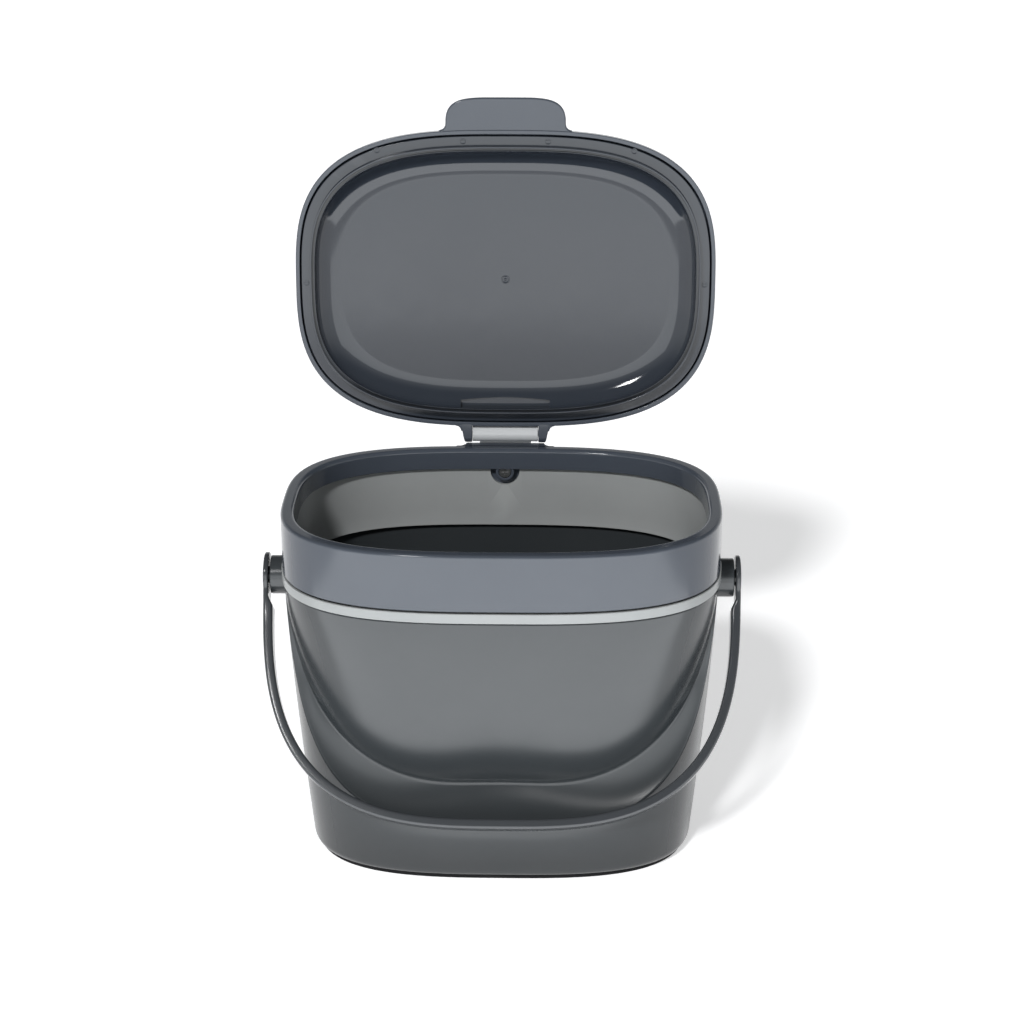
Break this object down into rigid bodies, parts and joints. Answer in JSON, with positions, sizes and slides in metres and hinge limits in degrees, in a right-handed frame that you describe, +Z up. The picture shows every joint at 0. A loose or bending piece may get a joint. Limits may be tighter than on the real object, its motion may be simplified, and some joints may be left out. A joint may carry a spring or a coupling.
{
  "type": "compost caddy",
  "caption": "Kitchen food-waste caddy: rounded bucket with a scooped front, clip-on rim, hinged lid with inner seal liner and a swinging bail handle.",
  "frame": {"origin": "middle of the foot pad's resting face, on the table", "axes": "+Z up, -Y towards the scooped front where the handle rests, +X to the right as seen from the front"},
  "size_m": [0.2252, 0.1717, 0.3401],
  "materials": {
    "bucket_plastic": "satin, finely textured charcoal polypropylene",
    "foot_rubber": "matt black non-slip rubber pad",
    "pale_plastic": "satin pale grey plastic",
    "rim_plastic": "satin, finely textured charcoal plastic",
    "liner_plastic": "satin charcoal plastic",
    "handle_plastic": "semi-gloss charcoal plastic",
    "steel": "brushed stainless steel"
  },
  "bodies": {
    "caddy": {"bucket": "bucket_plastic", "foot_pad": "foot_rubber", "trim_ring": "pale_plastic", "collar": "rim_plastic", "hinge_bracket": "pale_plastic", "hinge_screw": "steel", "hinge_pin": "steel"},
    "lid": {"lid_shell": "rim_plastic", "lid_liner": "liner_plastic"},
    "bail": {"handle": "handle_plastic"}
  },
  "joints": [
    {"name": "lid_hinge", "type": "hinge", "parent": "caddy", "child": "lid", "pos_m": [0, 0.0774, 0.1748], "axis": [1, 0, 0], "range_deg": [0, 95.9]},
    {"name": "handle_swing", "type": "hinge", "parent": "caddy", "child": "bail", "pos_m": [0, 0, 0.1302], "axis": [-1, 0, 0], "range_deg": [0, 144.3]}
  ]
}
